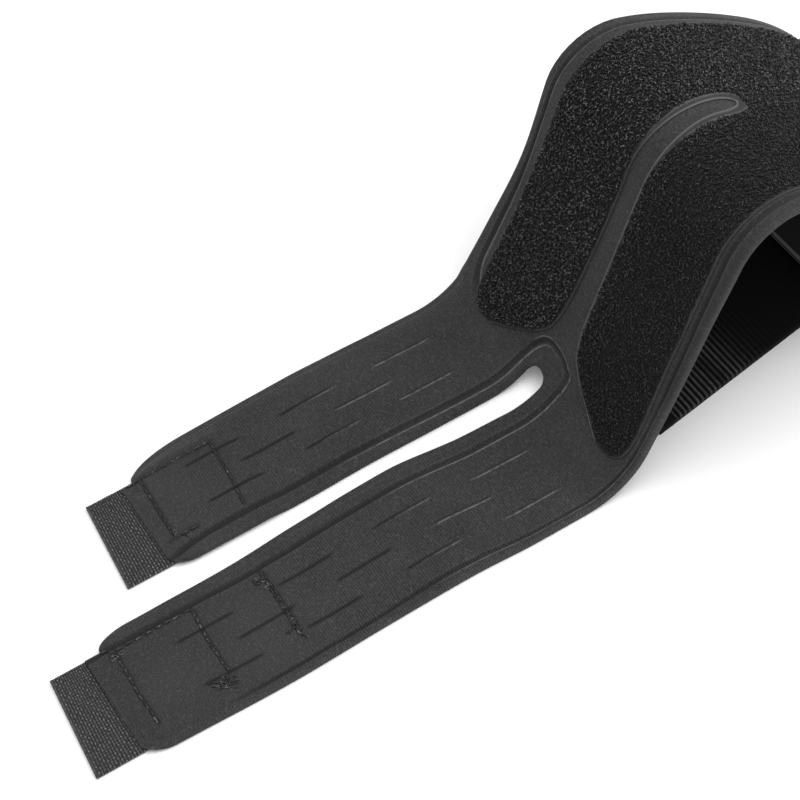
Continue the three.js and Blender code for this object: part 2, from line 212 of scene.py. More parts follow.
# Border from the edge inward: inset, height of the pressed flange, and of the rolled edge
GROOVE_MIDDLE = 3.3
FLANGE_INSET = 1.3
BORDER = np.array([
    (0.0, 1.62, 1.00),
    (0.3, 1.84, 1.22),
    (0.8, 1.90, 1.28),
    (1.3, 1.90, 1.34),
    (2.1, 1.92, 1.78),
    (2.4, 1.90, 1.88),
    (2.7, 1.62, 1.94),
    (3.3, 1.34, 2.08),
    (3.8, 1.56, 2.13),
    (4.1, 2.08, 2.16),
    (4.5, 2.26, 2.19),
    (5.2, 2.26, 2.20),
    (6.4, 2.20, 2.20),
    (80.0, 2.20, 2.20),
])
SLOT_EDGE_DROP, SLOT_EDGE_RUN = 0.22, 0.3
TONGUE_END_DROP, TONGUE_END_RUN = 0.9, 3.2
LAID_LOOSE, UNEVEN_HEIGHT = (-30, -14), 0.05

DASH_LENGTH, DASH_HALF_WIDTH, DASH_DEPTH = 15, 0.45, 0.3
DASH_PITCH, DASH_END_MARGIN = 24.0, 10
DASH_TAPER, DASH_REACH = 1.6, 1.1

# Seams that hold the tails pull the cloth down along these lines of (s, w)
SEAMS = {
    "far": [
        [(-100.5, 28.3), (-80.1, 28.5), (-80.5, 22.5), (-81.2, 15.0), (-82.0, 10.3)],
        [(-97.3, 28.3), (-98.0, 10.9)],
        [(-97.5, 10.8), (-92.5, 10.6)],
    ],
    "near": [
        [(-122.3, -26.0), (-122.5, -18.0), (-121.8, -6.5)],
        [(-121.8, -6.5), (-104.0, -6.4), (-104.8, -14.0), (-105.0, -23.5)],
        [(-87.9, -6.4), (-88.6, -24.0)],
        [(-87.45, -7.2), (-88.2, -23.4)],
    ],
}
SEAM_DIP, SEAM_DIP_RUN = 0.3, 0.5

# The underside stands over a sewn tail's width, and comes down to the surface beside it
TAIL_COVER = 0.08
COVER_RUN, COVER_BESIDE = 6.0, (0.3, 2.6)
COVER_SHARE = 0.35
THINNEST = 0.32

# Lines of points: counted in from the outer edge to the slot's edge on a tongue of usual width
TONGUE_WIDTH = 29.2
DASH_SPREAD = np.array([-1.6, -1.05, -0.7, -0.45, -0.22, 0.0, 0.22, 0.45, 0.7, 1.05, 1.6])
OUTER_COLUMNS = np.array([
    0, 0.12, 0.3, 0.5, 0.7, 0.9, 1.1, 1.3, 1.5, 1.7, 1.9, 2.1, 2.3, 2.5, 2.7, 2.9, 3.1, 3.3, 3.6, 3.9,
    4.3, 4.8, 5.4, 6.2, 7.2,
])
SLOT_COLUMNS = np.array([
    0, 0.12, 0.35, 0.7, 1.1, 1.4, 1.65, 1.9, 2.1, 2.3, 2.5, 2.7, 2.9, 3.1, 3.3, 3.5, 3.7, 3.9, 4.1, 4.3,
    4.5, 4.75, 5.0, 5.4, 6.0,
])
ROUND_STEPS = np.array([0, 0.004, 0.02, 0.05, 0.09, 0.15, 0.23, 0.33, 0.46, 0.62, 0.8, 1.0])
SEAM_STEPS = np.array([-0.9, -0.45, 0.0, 0.45, 0.9])
TONGUE_ROW_STEP, TIP_ROW_STEP, ARCH_ROW_STEP = 1.2, 0.4, 2.0
TIP_ROWS_FROM, TIP_ROWS_TO = -19.0, 1.0
TONGUE_ROWS_CLEAR, ROUND_ROWS_CLEAR, END_ROWS_CLEAR = 0.3, 1.0, 7
CLOSEST_ROWS, CLOSEST_COLUMNS = 0.06, 0.05
BODY_END_ROWS = np.array([6.4, 5.2, 4.4, 4.0, 3.7, 3.3, 2.85, 2.6, 2.2, 1.3, 0.6, 0.25, 0])


def side_lines(tongue, s):
    """Slot's middle, and distances from it to the slot's edge and to the outer edge, before corners."""
    far, near = (smooth_line(PATTERN[:, 0], PATTERN[:, k], s) for k in (2, 3))
    middle = (far + near) / 2
    slot = tongue["side"] * (smooth_line(PATTERN[:, 0], PATTERN[:, tongue["slot_column"]], s) - middle)
    outer = tongue["side"] * (smooth_line(PATTERN[:, 0], PATTERN[:, tongue["edge_column"]], s) - middle)
    return middle, slot, outer


def tongue_middle(tongue, s):
    middle, slot, outer = side_lines(tongue, s)
    return middle + tongue["side"] * (slot + outer) / 2


def tail_cover(tongue, s, w):
    """Height of the tongue's underside, raised over the tail that is sewn beneath it."""
    beside = np.abs(w - tongue["tail_middle"]) - tongue["tail_width"] / 2
    along = ease(tongue["tail_end"] + COVER_RUN - s, 0, COVER_RUN)
    return (TAIL_WALL + TAIL_COVER) * along * (1 - ease(beside, *COVER_BESIDE))


def thinned(marks, closest):
    """Sorted marks, without those that stand too close to the one before."""
    kept = []
    for mark in np.sort(marks):
        if not kept or mark - kept[-1] > closest:
            kept.append(mark)
    return np.array(kept)


def body_rows(name, tongue):
    """Places along the wrap where the body's rows of points stand."""
    seams = np.array([point[0] for seam in SEAMS[name] for point in seam])
    corners = [tongue["end"] + tongue[start] + ROUND_STEPS * tongue[key][0]
               for key, start in (("outer_corner", "corner_start"), ("slot_corner", "slot_start"))]
    even = np.arange(tongue["end"], TIP_ROWS_FROM, TONGUE_ROW_STEP)
    own = np.concatenate([*corners, (seams[:, None] + SEAM_STEPS).ravel(), even])
    own = own[(own >= tongue["end"]) & (own < TIP_ROWS_FROM - TONGUE_ROWS_CLEAR)]
    shared = np.concatenate([
        np.arange(TIP_ROWS_FROM, SLOT_TIP - ROUND_ROWS_CLEAR, TIP_ROW_STEP),
        SLOT_TIP - ROUND_STEPS * SLOT_ROUND / 2,
        np.arange(SLOT_TIP + TIP_ROW_STEP, TIP_ROWS_TO, TIP_ROW_STEP),
        np.arange(TIP_ROWS_TO, BODY_END - END_ROWS_CLEAR, ARCH_ROW_STEP),
        BODY_END - BODY_END_ROWS,
    ])
    return np.concatenate([thinned(own, CLOSEST_ROWS), np.sort(shared)])


def tongue_edges(tongue, s):
    """Distances from the slot's middle to the outer edge and to the slot's edge, with their corners."""
    _, slot, outer = side_lines(tongue, s)
    from_end = s - tongue["end"]
    edge = outer - corner_inset(tongue["outer_corner"], from_end - tongue["corner_start"])
    edge = edge - corner_inset(END_CORNER, BODY_END - s)
    return edge, slot + corner_inset(tongue["slot_corner"], from_end - tongue["slot_start"])


def groove_out(tongue, s):
    """Distance from the slot's middle to the groove's middle line round the slot."""
    margin = smooth_line(SLOT_MARGIN[:, 0], SLOT_MARGIN[:, tongue["margin_column"]], s)
    return (side_lines(tongue, s)[1] + margin) * round_share((GROOVE_TIP - s) / tongue["groove_round"])


GROOVE_START, GROOVE_STEP = -130, 0.3
GROOVE_ROUND_RUN, GROOVE_ROUND_POINTS = 4, 90


def groove_line():
    """Points of the groove's middle line round the slot, closer together at its tip."""
    straight = np.arange(GROOVE_START, GROOVE_TIP - GROOVE_ROUND_RUN, GROOVE_STEP)
    to_tip = GROOVE_ROUND_RUN * np.linspace(1, 0, GROOVE_ROUND_POINTS) ** 2
    s = np.concatenate([straight, GROOVE_TIP - to_tip])
    lines = []
    for tongue in TONGUES.values():
        w = side_lines(tongue, s)[0] + tongue["side"] * groove_out(tongue, s)
        lines.append(np.stack([s, w], -1)[s > tongue["end"] - 2])
    return np.concatenate(lines)


GROOVE_LINE = groove_line()
GROOVE_NEAR_OUT, GROOVE_NEAR_PAST_TIP = 13, 9
NO_GROOVE_NEAR, NO_LINE_NEAR = 40.0, 99.0
POINTS_AT_ONCE = 2000


def nearest(points, line):
    """Distance from each point to the nearest point of a line, in portions."""
    found = np.empty(len(points))
    for start in range(0, len(points), POINTS_AT_ONCE):
        portion = slice(start, start + POINTS_AT_ONCE)
        found[portion] = np.sqrt(((points[portion, None] - line) ** 2).sum(-1).min(1))
    return found


def seam_distance(name, s, w):
    """Distance from each point to the nearest seam."""
    best = np.full(np.shape(s + w), NO_LINE_NEAR)
    for seam in SEAMS[name]:
        for (s0, w0), (s1, w1) in zip(seam, seam[1:]):
            run_s, run_w = s1 - s0, w1 - w0
            along = ((s - s0) * run_s + (w - w0) * run_w) / (run_s ** 2 + run_w ** 2)
            along = np.clip(along, 0, 1)
            best = np.minimum(best, np.hypot(s - s0 - along * run_s, w - w0 - along * run_w))
    return best


def dash_place(tongue, s, w):
    """How fully each point lies along a pressed dash, and its distance across from the dash's line."""
    middle, slot, outer = side_lines(tongue, s)
    out = (tongue["side"] * (w - middle) - (slot + outer) / 2) * TONGUE_WIDTH / (outer - slot)
    last = tongue["end"] + DASH_END_MARGIN + DASH_LENGTH / 2
    along, across = np.zeros(np.shape(s + w)), np.full(np.shape(s + w), NO_LINE_NEAR)
    for row, first in tongue["dash_rows"]:
        number = np.clip(np.round((first - s) / DASH_PITCH), 0, np.floor((first - last) / DASH_PITCH))
        from_end = DASH_LENGTH / 2 - np.abs(s - (first - number * DASH_PITCH))
        close = np.abs(out - row) < np.abs(across)
        across = np.where(close, tongue["side"] * (out - row), across)
        along = np.where(close, ease(from_end, 0, DASH_TAPER) * (np.abs(out - row) < DASH_REACH), along)
    return along, np.clip(across, -DASH_REACH, DASH_REACH)


def slow_waves(s, w):
    """Long shallow waves of cloth that is not pulled flat."""
    crossed = np.sin(0.21 * s + 0.13 * w) * np.sin(0.17 * w - 0.09 * s)
    return crossed + 0.6 * np.sin(0.47 * s - 0.31 * w + 1.0)


def body_face(name, tongue, s, w):
    """Height of the outer face, of the inner one, and what the material needs to know of each point."""
    out = tongue["side"] * (w - side_lines(tongue, s)[0])
    edge, gap = tongue_edges(tongue, s)
    rolled = (1 - ease(s, *tongue["grooved"])) * (1 - HALF_GROOVED * ease(s, *tongue["half_grooved"]))
    margin = smooth_line(EDGE_MARGIN[:, 0], EDGE_MARGIN[:, tongue["margin_column"]], s)
    inset = (edge - out) * GROOVE_MIDDLE / margin
    flanged = smooth_line(BORDER[:, 0], BORDER[:, 1], inset)
    curled = smooth_line(BORDER[:, 0], BORDER[:, 2], edge - out)
    height = flanged + rolled * (curled - flanged)
    height = np.minimum(height, smooth_line(BORDER[:, 0], BORDER[:, 1], BODY_END - s + 0 * w))

    close = (out < GROOVE_NEAR_OUT) & (s < GROOVE_TIP + GROOVE_NEAR_PAST_TIP)
    from_groove = np.full(np.shape(out), NO_GROOVE_NEAR)
    points = np.stack([s + 0 * w, w + 0 * s], -1)
    from_groove[close] = nearest(points[close], GROOVE_LINE)
    outside = (out > groove_out(tongue, s)) | (s > GROOVE_TIP)
    slot_inset = GROOVE_MIDDLE + np.where(outside, from_groove, -from_groove)
    slot_height = smooth_line(BORDER[:, 0], BORDER[:, 1], np.maximum(slot_inset, FLANGE_INSET))
    slot_edge = gap * round_share((SLOT_TIP - s) / SLOT_ROUND)
    edge_drop = SLOT_EDGE_DROP * np.exp(-((out - slot_edge) / SLOT_EDGE_RUN) ** 2)
    slot_height = slot_height - edge_drop * (s <= SLOT_TIP)
    height = np.minimum(height, slot_height)
    by_slot = np.abs(slot_inset - GROOVE_MIDDLE) < np.abs(inset - GROOVE_MIDDLE)
    slot_ridge_lit = np.maximum(tongue["ridge_lit"], ease(s, *RIDGE_TURNS))
    ridge_lit = np.where(by_slot, slot_ridge_lit, 1 - tongue["ridge_lit"])

    dash, dash_side = dash_place(tongue, s, w)
    height = height - DASH_DEPTH * dash * np.clip(1 - np.abs(dash_side) / DASH_HALF_WIDTH, 0, 1)
    seam = np.exp(-(seam_distance(name, s, w) / SEAM_DIP_RUN) ** 2)
    height = height - SEAM_DIP * seam
    height = height - TONGUE_END_DROP * np.exp(-((s - tongue["end"]) / TONGUE_END_RUN) ** 2)
    height = height + UNEVEN_HEIGHT * slow_waves(s, w) * (1 - ease(s, *LAID_LOOSE))
    bottom = tail_cover(tongue, s, w)
    return dict(
        top=np.maximum(height + COVER_SHARE * bottom, bottom + THINNEST), bottom=bottom,
        border=np.where(by_slot, slot_inset, inset), pressed=np.where(by_slot, 1.0, 1 - rolled),
        ridge_lit=ridge_lit, dash=dash, dash_side=dash_side, seam=seam,
    )


def body_half(name, tongue):
    """Grid of the body on one side of the slot's middle line, from the outer edge inward."""
    s = body_rows(name, tongue)[:, None]
    edge, gap = tongue_edges(tongue, s)
    gap = gap * round_share((SLOT_TIP - s) / SLOT_ROUND)
    dashes = [TONGUE_WIDTH / 2 - row + DASH_SPREAD for row, _ in tongue["dash_rows"]]
    columns = np.concatenate([OUTER_COLUMNS, *dashes, TONGUE_WIDTH - SLOT_COLUMNS])
    share = thinned(columns, CLOSEST_COLUMNS) / TONGUE_WIDTH
    w = side_lines(tongue, s)[0] + tongue["side"] * (edge * (1 - share) + gap * share)
    s = s + 0 * w
    slant = tongue["slant"] * ease(SLANT_RUN + tongue["end"] - s, 0, SLANT_RUN)
    return dict(s=s + slant * (w - tongue_middle(tongue, s)), w=w, **body_face(name, tongue, s, w))


WALL_STEPS = np.array([0.1, 0.3, 0.5, 0.7, 0.9])


def cloth_mesh(name, grids, bulge, placing=place):
    """A closed mesh of cloth from grids on the flat pattern, with rounded edges. Gives its flat area."""
    flat = np.concatenate([np.stack([grid["s"], grid["w"]], -1).reshape(-1, 2) for grid in grids])
    _, first, which = np.unique(np.round(flat, 4) + 0.0, axis=0, return_index=True, return_inverse=True)
    which = which.ravel()
    known = {key: np.concatenate([(grid[key] + 0 * grid["s"]).ravel() for grid in grids])[first]
             for key in grids[0] if key not in ("s", "w")}
    top, bottom = known.pop("top"), known.pop("bottom")
    flat = flat[first]
    quads, start = [], 0
    for grid in grids:
        ids = which[start:start + grid["s"].size].reshape(grid["s"].shape)
        start += grid["s"].size
        quads.append(np.stack([ids[:-1, :-1], ids[1:, :-1], ids[1:, 1:], ids[:-1, 1:]], -1).reshape(-1, 4))
    quads = np.concatenate(quads)
    corner = flat[quads]
    onward = np.roll(corner, -1, axis=1)
    area = (corner[..., 0] * onward[..., 1] - onward[..., 0] * corner[..., 1]).sum(1) / 2
    quads[area < 0] = quads[area < 0][:, ::-1]

    edges = np.stack([quads, np.roll(quads, -1, axis=1)], -1).reshape(-1, 2)
    count = len(flat)
    outline = edges[~np.isin(edges[:, 0] * count + edges[:, 1], edges[:, 1] * count + edges[:, 0])]
    run = flat[outline[:, 1]] - flat[outline[:, 0]]
    away = np.stack([run[:, 1], -run[:, 0]], -1) / np.linalg.norm(run, axis=1, keepdims=True)
    outward = np.zeros_like(flat)
    np.add.at(outward, outline[:, 0], away)
    np.add.at(outward, outline[:, 1], away)
    rim = np.unique(outline)
    outward = outward[rim] / np.maximum(np.linalg.norm(outward[rim], axis=1, keepdims=True), 1e-9)
    rim_place = np.full(count, -1)
    rim_place[rim] = np.arange(len(rim))

    layers = [(flat, top, 0 * top), (flat, bottom, 0 * top + 1)]
    levels = [np.arange(count)]
    for number, step in enumerate(WALL_STEPS):
        swell = bulge * round_share(2 * min(step, 1 - step))
        height = top[rim] + step * (bottom[rim] - top[rim])
        layers.append((flat[rim] + swell * outward, height, 0 * height + step))
        levels.append(2 * count + number * len(rim) + rim_place)
    levels.append(np.arange(count) + count)
    faces = [quads, quads[:, ::-1] + count]
    for upper, lower in zip(levels, levels[1:]):
        a, b = outline[:, 0], outline[:, 1]
        faces.append(np.stack([upper[b], upper[a], lower[a], lower[b]], -1))
    points, height, inner = (np.concatenate([layer[k] for layer in layers]) for k in range(3))
    known = {key: np.concatenate([value, 0 * value, *[value[rim]] * len(WALL_STEPS)])
             for key, value in known.items()}
    piece = mesh_piece(name, placing(points[:, 0], points[:, 1], height), np.concatenate(faces).tolist())
    keep_values(piece, np.column_stack([points, height]), inner=inner, **known)
    return piece, np.abs(area).sum() * MM * MM


def mesh_piece(name, points, faces):
    """An object of a mesh with smooth faces."""
    mesh = bpy.data.meshes.new(name)
    mesh.from_pydata(points.tolist(), [], faces)
    mesh.shade_smooth()
    mesh.update()
    piece = bpy.data.objects.new(name, mesh)
    bpy.context.scene.collection.objects.link(piece)
    return piece


def keep_values(piece, pattern, **values):
    """Each point's place on the flat pattern, and other values, for the materials."""
    kept = piece.data.attributes.new("pattern", "FLOAT_VECTOR", "POINT")
    kept.data.foreach_set("vector", pattern.astype(np.float32).ravel())
    for key, value in values.items():
        kept = piece.data.attributes.new(key, "FLOAT", "POINT")
        kept.data.foreach_set("value", value.astype(np.float32))


class Finish:
    """One cloth's material: nodes on the piece's own pattern, ending in its shader."""

    def __init__(self, name, sheen, sheen_roughness, specular):
        self.material = bpy.data.materials.new(name)
        self.material.use_nodes = True
        self.tree = self.material.node_tree
        self.shader = self.tree.nodes["Principled BSDF"]
        self.shader.inputs["Sheen Weight"].default_value = sheen
        self.shader.inputs["Sheen Roughness"].default_value = sheen_roughness
        self.shader.inputs["Specular IOR Level"].default_value = specular
        self.pattern = self.node("ShaderNodeAttribute", attribute_name="pattern").outputs["Vector"]
        split = self.node("ShaderNodeSeparateXYZ", inputs={"Vector": self.pattern})
        self.s, self.w, self.height = split.outputs

    def node(self, kind, inputs=None, **settings):
        made = self.tree.nodes.new(kind)
        for key, value in settings.items():
            setattr(made, key, value)
        for key, value in (inputs or {}).items():
            self.feed(made.inputs[key], value)
        return made

    def feed(self, socket, value):
        if isinstance(value, bpy.types.NodeSocket):
            self.tree.links.new(value, socket)
        else:
            socket.default_value = value

    def value(self, key):
        return self.node("ShaderNodeAttribute", attribute_name=key).outputs["Fac"]

    def math(self, operation, *values):
        made = self.node("ShaderNodeMath", operation=operation)
        for socket, value in zip(made.inputs, values):
            self.feed(socket, value)
        return made.outputs[0]

    def sum(self, *values):
        total = values[0]
        for value in values[1:]:
            total = self.math("ADD", total, value)
        return total

    def times(self, *values):
        product = values[0]
        for value in values[1:]:
            product = self.math("MULTIPLY", product, value)
        return product

    def line(self, value, middle, half_width):
        """1 where a value stands at the middle, falling to 0 beside it."""
        beside = self.math("ABSOLUTE", self.math("SUBTRACT", value, middle))
        return self.between(beside, 0.0, half_width, 1.0, 0.0)

    def between(self, value, low, high, to_low=0.0, to_high=1.0):
        made = self.node("ShaderNodeMapRange", interpolation_type="SMOOTHSTEP", inputs={
            "Value": value, "From Min": low, "From Max": high, "To Min": to_low, "To Max": to_high,
        })
        return made.outputs["Result"]

    def stretched(self, across_s, across_w, across_height):
        made = self.node("ShaderNodeVectorMath", operation="MULTIPLY")
        self.feed(made.inputs[0], self.pattern)
        self.feed(made.inputs[1], (across_s, across_w, across_height))
        return made.outputs[0]

    def noise(self, vector, detail=2.0):
        made = self.node("ShaderNodeTexNoise", inputs={"Vector": vector, "Scale": 1.0, "Detail": detail})
        return made.outputs[0]

    def wave(self, value, pitch):
        """Sine of a place in millimetres, once for each pitch."""
        return self.math("SINE", self.times(value, 2 * np.pi / pitch))

    def colour(self, share, dark, light):
        made = self.node("ShaderNodeMix", data_type="RGBA", inputs={0: share})
        made.inputs[6].default_value = (*dark, 1)
        made.inputs[7].default_value = (*light, 1)
        self.feed(self.shader.inputs["Base Color"], made.outputs[2])

    def bump(self, height, distance):
        made = self.node("ShaderNodeBump", inputs={"Height": height, "Distance": distance})
        self.feed(self.shader.inputs["Normal"], made.outputs[0])

    def roughness(self, share, low, high):
        self.feed(self.shader.inputs["Roughness"], self.between(share, 0.0, 1.0, low, high))

    def dress(self, piece):
        piece.data.materials.append(self.material)


# Places on the pattern where the knit's look changes and its painted highlights and painted shade lie, and
# places in from the edge of the painted highlight lines
KNIT_PITCH = 0.58
RIBS_SHOW, RIBS_FADE = (-100.0, -76.0), (-22.0, -8.0)
HIGHLIGHT_FROM, HIGHLIGHT_LESS = (-64.0, -46.0), (-4.0, 10.0)
SHADED_LESS, RISING, CREST = (-60.0, -42.0), (0.0, 14.0), (44.0, 58.0)
NEAR_FLANGE, NEAR_EDGE = (-26.0, -16.0), (-31.0, -25.0)
EDGE_PLACE, LIP_PLACE, RIDGE_PLACE = 0.25, 2.3, 4.3
knit = Finish("body_knit", sheen=0.1, sheen_roughness=0.5, specular=0.3)
wander = knit.noise(knit.stretched(0.25, 0.12, 0.0))
ribs = knit.wave(knit.sum(knit.s, knit.times(wander, 0.5)), KNIT_PITCH)
ribs = knit.times(
    ribs, knit.between(knit.s, *RIBS_SHOW, 0.25, 1.0), knit.between(knit.s, *RIBS_FADE, 1.0, 0.1),
)
flecks = knit.between(knit.noise(knit.stretched(2.6, 1.3, 0.3), 3.0), 0.5, 0.72)
grain = knit.noise(knit.stretched(3.4, 3.4, 3.4), 3.0)
cloudy = knit.noise(knit.stretched(0.05, 0.06, 0.0))
knit_tone = knit.sum(
    -1.2, knit.times(ribs, 0.28), knit.times(flecks, 0.9), knit.times(grain, 3.2), knit.times(cloudy, 0.8),
)

border = knit.value("border")
rising = knit.between(knit.s, *RISING)
patchy = knit.noise(knit.stretched(0.7, 0.7, 0.0), 2.0)
# Painted highlight strength: it grows along the tongues towards the rise, drops a little on the arch and
# much on the rise's near side, and comes in patches.
painted_highlight_reach = knit.times(
    knit.between(knit.s, *HIGHLIGHT_FROM, 0.06, 1.0), knit.between(knit.s, *HIGHLIGHT_LESS, 1.0, 0.55),
    knit.sum(1.0, knit.times(rising, knit.between(knit.w, *NEAR_FLANGE, -0.8, 0.0))),
    knit.between(patchy, 0.3, 0.6, 0.35, 1.0),
)
ridge_lit = knit.value("ridge_lit")
lip_lit = knit.math("SUBTRACT", 1.0, ridge_lit)
lip = knit.times(knit.line(border, LIP_PLACE, 0.34), knit.sum(0.08, knit.times(lip_lit, 0.5)))
ridge = knit.times(knit.line(border, RIDGE_PLACE, 0.36), knit.sum(0.08, knit.times(ridge_lit, 0.5)))
pressed = knit.value("pressed")
inner = knit.value("inner")
dash = knit.value("dash")
dash_side = knit.value("dash_side")
# Painted highlights on the border's lip and ridge and along one side of each dash, and a faint lighter line
# at the outer edge as wear.
painted_highlights_and_edge_wear = knit.sum(
    knit.times(pressed, painted_highlight_reach, knit.sum(lip, ridge)),
    knit.times(knit.line(border, EDGE_PLACE, 0.5), 0.03),
    knit.times(dash, painted_highlight_reach, knit.line(dash_side, 0.05, 0.3), 0.6),
)
# Painted shade: darker on the rise below the crest and near its near edge, and in the border groove, along
# the dashes' dark lines and beside the seams.
shaded = knit.between(knit.s, *SHADED_LESS, 1.0, 0.5)
sunk = knit.sum(
    1.0, knit.times(rising, knit.between(knit.s, *CREST, -0.2, 0.0)),
    knit.times(rising, knit.between(knit.w, *NEAR_EDGE, -0.2, 0.0)),
    knit.times(pressed, shaded, knit.line(border, GROOVE_MIDDLE, 1.15), -0.9),
    knit.times(dash, shaded, knit.line(dash_side, 0.28, 0.62), -1.1), knit.times(knit.value("seam"), -0.75),
)
# Painted highlight: two light lines on the cut wall at the body's turned-in end.
painted_end_highlight = knit.times(
    knit.between(knit.s, BODY_END - 0.5, BODY_END - 0.2),
    knit.sum(knit.line(inner, 0.1, 0.4), knit.line(inner, 0.9, 0.4)),
)
# The inner face and the cut walls are darkened; on the walls this is painted shade.
inner_and_wall_dark = knit.between(inner, 0.1, 0.6, 1.0, 0.15)
outer_tone = knit.sum(knit.times(knit_tone, sunk, 0.115), painted_highlights_and_edge_wear)
knit.colour(
    knit.sum(knit.times(outer_tone, inner_and_wall_dark), knit.times(painted_end_highlight, 0.9)),
    dark=(0.005, 0.005, 0.0052), light=(0.21, 0.21, 0.214),
)
knit.bump(knit.sum(knit.times(ribs, 0.6), knit.times(grain, 0.8), knit.times(flecks, 0.6)), 0.0001)
knit.roughness(grain, 0.66, 0.88)

body, body_area = cloth_mesh("body_cloth", [body_half(*item) for item in TONGUES.items()], bulge=0.16)
knit.dress(body)
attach(body, "root")
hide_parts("body")

# Loop panel backing
# A thin knitted backing that carries the pile, cut to two legs that meet past the crest, and welded to
# the outer face of the wide part. Its cut edge carries a painted highlight, a thin pale rim that is widest
# at the groove's tip, and the bare backing at the crest a painted sheen.
PANEL = np.array([  # s, half width of the groove between the legs, half width of the panel
    (-11.0, 21.0, 23.6),
    (-10.2, 19.4, 25.4),
    (-8.8, 17.1, 26.7),
    (-6, 13.0, 27.4),
    (-2, 7.9, 27.7),
    (1.5, 5.1, 27.6),
    (8, 3.6, 27.2),
    (20, 3.1, 26.7),
    (40, 2.8, 26.6),
    (60, 3.5, 26.8),
    (67, 3.5, 26.7),
    (70.2, 2.9, 26.7),
    (71.4, 2.1, 26.7),
    (72.0, 0, 26.7),
])
PANEL_MIDDLE = -0.4
PANEL_TIP = 72.0
PANEL_START, PANEL_END = -11.0, 130
PANEL_CORNER = (6, 6)
BACKING_LOW, BACKING_HIGH = 2.28, 2.5
RIM_WIDTH, RIM_HEIGHT = 0.36, 0.1
RIM_BEYOND, RIM_BEYOND_TIP, RIM_WIDENS = 0.4, 1.5, (44, 62)
NO_RIM_NEAR = 9
PANEL_COLUMNS = np.concatenate([[0, 0.015, 0.03], np.linspace(0.06, 0.9, 15), np.linspace(0.915, 1, 12)])
LEG_START_STEPS = np.array([0, 0.15, 0.4, 0.8])
LEG_ROWS, CREST_ROWS = np.arange(-10, 60, 1.2), np.arange(60, 69, 0.5)
TIP_STEPS = np.array([2.7, 2.4, 2.1, 1.9, 1.7, 1.6, 1.52, RIM_BEYOND_TIP, 1.2, 0.9, 0.6, 0.3, 0.1, 0])
BACK_ROWS = np.arange(PANEL_TIP + 1, PANEL_END - 6.5, 1.6)
CLOSEST_PANEL_ROWS = 0.01


def panel_half_widths(s):
    """Half widths of the groove between the legs and of the panel."""
    inner = np.where(s < PANEL_TIP, smooth_line(PANEL[:, 0], PANEL[:, 1], s), 0)
    outer = smooth_line(PANEL[:, 0], PANEL[:, 2], s) - corner_inset(PANEL_CORNER, PANEL_END - s)
    return inner, outer


def panel_rows():
    """Places along the wrap where the backing's rows of points stand."""
    rows = np.concatenate([
        PANEL_START + LEG_START_STEPS, LEG_ROWS, CREST_ROWS, PANEL_TIP - TIP_STEPS,
        BACK_ROWS, PANEL_END - PANEL_CORNER[0] * ROUND_STEPS,
    ])
    return thinned(rows, CLOSEST_PANEL_ROWS)


def panel_half(side):
    """Grid of the backing on one side of its middle line, from the outer edge inward."""
    s = panel_rows()[:, None]
    piled, outer = panel_half_widths(s)
    beyond = RIM_BEYOND + (RIM_BEYOND_TIP - RIM_BEYOND) * ease(s, *RIM_WIDENS)
    inner = np.maximum(panel_half_widths(s + beyond)[0] - beyond, 0)
    outer = outer + RIM_BEYOND
    out = outer + (inner - outer) * PANEL_COLUMNS
    from_edge = np.minimum(outer - out, PANEL_END - s)
    from_groove = np.where(s + beyond < PANEL_TIP, out - inner, NO_RIM_NEAR)
    rim = np.exp(-(np.minimum(from_edge, from_groove) / RIM_WIDTH) ** 2)
    at_tip = ease(s, *RIM_WIDENS)
    # Painted highlight on the rim: full along the near leg's groove edge, on the far leg growing towards
    # the crest.
    groove_rim = np.exp(-(from_groove / RIM_WIDTH) ** 2) * (1.0 if side < 0 else 0.25 + 0.75 * at_tip)
    pile_rim = at_tip * np.exp(-((out - piled) / RIM_WIDTH) ** 2) * (s < PANEL_TIP)
    rim_highlight = np.maximum(np.maximum(groove_rim, 0.7 * pile_rim), 0.3 * np.exp(-(from_edge / RIM_WIDTH) ** 2))
    return dict(s=s + 0 * out, w=PANEL_MIDDLE + side * out, top=BACKING_HIGH + RIM_HEIGHT * rim,
                bottom=BACKING_LOW + 0 * out, rim_highlight=rim_highlight, bare_crest_sheen=ease(piled - out, -0.2, 0.2) * at_tip)


backing_cloth = Finish("loop_backing", sheen=0.1, sheen_roughness=0.5, specular=0.25)
matted = backing_cloth.noise(backing_cloth.stretched(1.6, 1.6, 1.6), 4.0)
# Colour: a matted tone, the rim's painted highlight and a painted sheen on the bare backing at the crest.
backing_cloth.colour(
    backing_cloth.sum(
        backing_cloth.times(matted, 0.15), backing_cloth.times(backing_cloth.value("rim_highlight"), 0.8),
        backing_cloth.times(backing_cloth.value("bare_crest_sheen"), 0.1),
    ),
    dark=(0.004, 0.004, 0.0043), light=(0.11, 0.11, 0.113),
)
backing_cloth.bump(matted, 0.0002)
backing_cloth.roughness(matted, 0.75, 0.95)
backing, backing_area = cloth_mesh("loop_backing", [panel_half(1), panel_half(-1)], bulge=0.12)
backing_cloth.dress(backing)
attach(backing, "root")
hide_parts("loop_panel")

